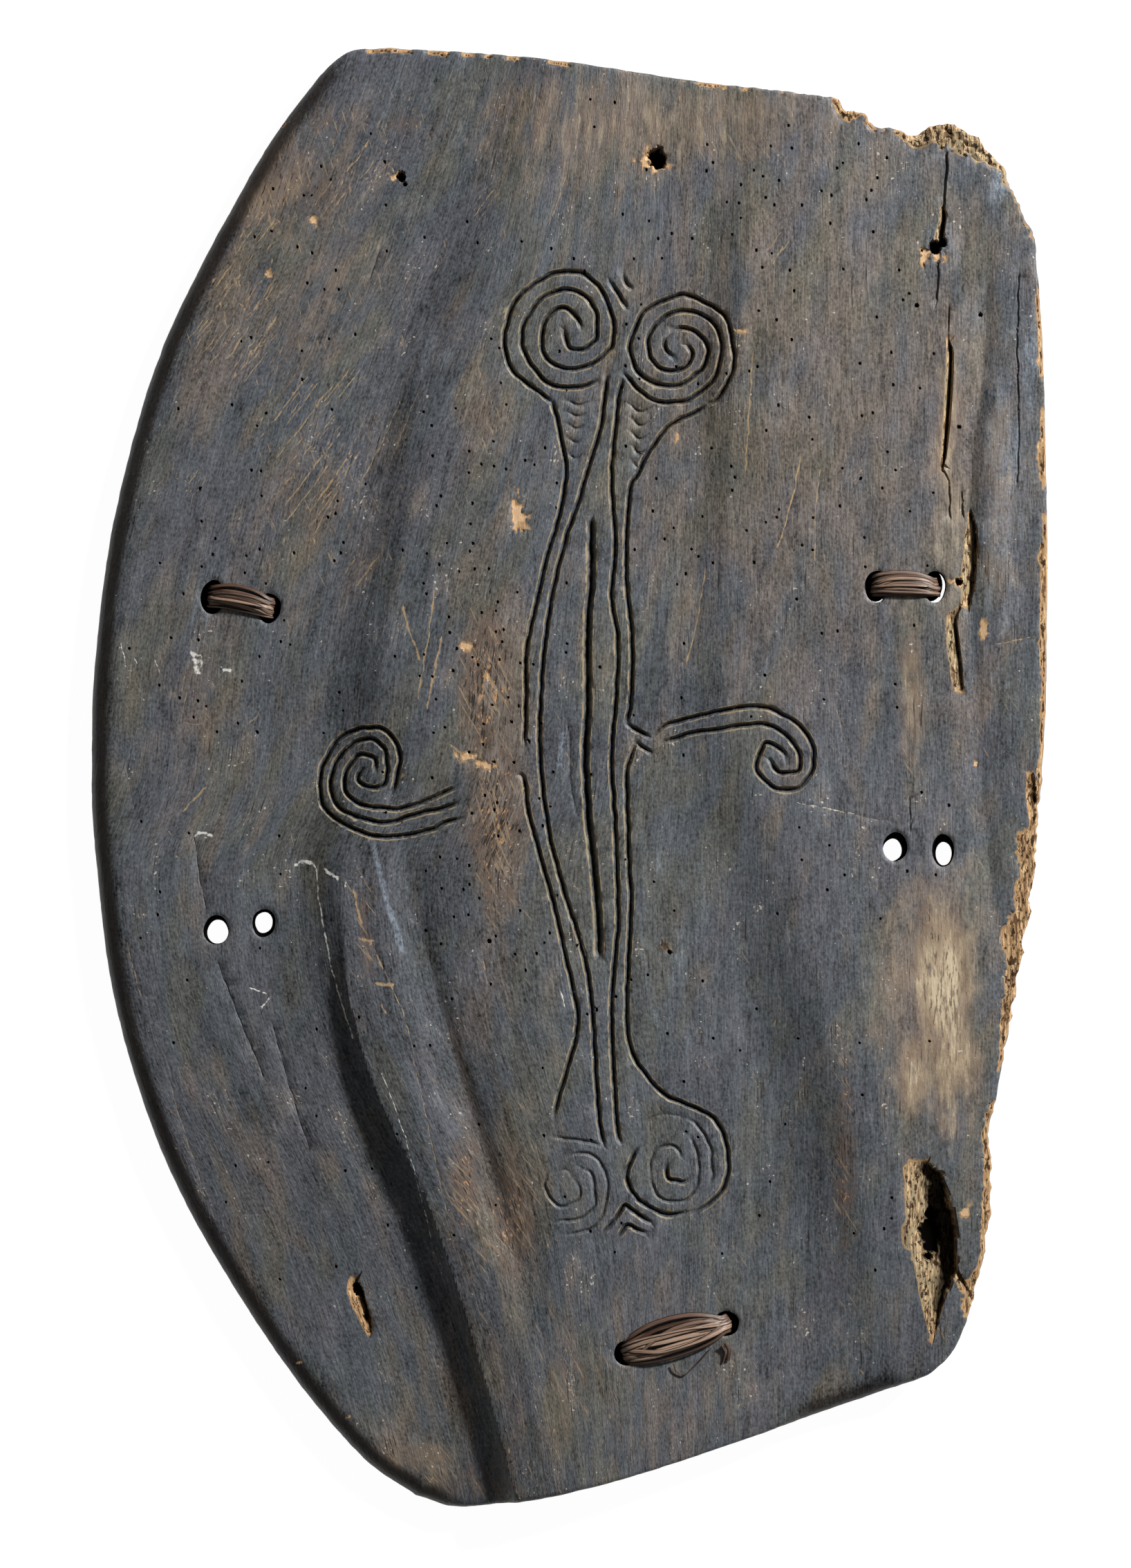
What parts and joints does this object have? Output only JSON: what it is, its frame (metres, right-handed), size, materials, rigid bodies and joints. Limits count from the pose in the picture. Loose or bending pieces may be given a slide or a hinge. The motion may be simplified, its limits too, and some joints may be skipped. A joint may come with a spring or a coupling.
{
  "type": "war shield",
  "caption": "Carved wooden war shield, a thin plank with long folds, spiral engraving, pierced lashing holes and split-cane lashings, lying on its back.",
  "frame": {"origin": "on the floor, below the middle of the shield's outline", "axes": "+X to the right as seen from the carved front, +Y to the upper end, +Z out of the carved front, which faces up"},
  "size_m": [0.7603, 1.1601, 0.0422],
  "materials": {
    "patinated_wood": "old smoked and handled wood, dark grey-brown, satin",
    "split_cane": "split cane, brown, satin skin"
  },
  "bodies": {
    "root": {"shield_board": "patinated_wood", "cane_lashing_upper_left": "split_cane", "cane_lashing_upper_right": "split_cane", "cane_lashing_lower": "split_cane"}
  },
  "joints": []
}
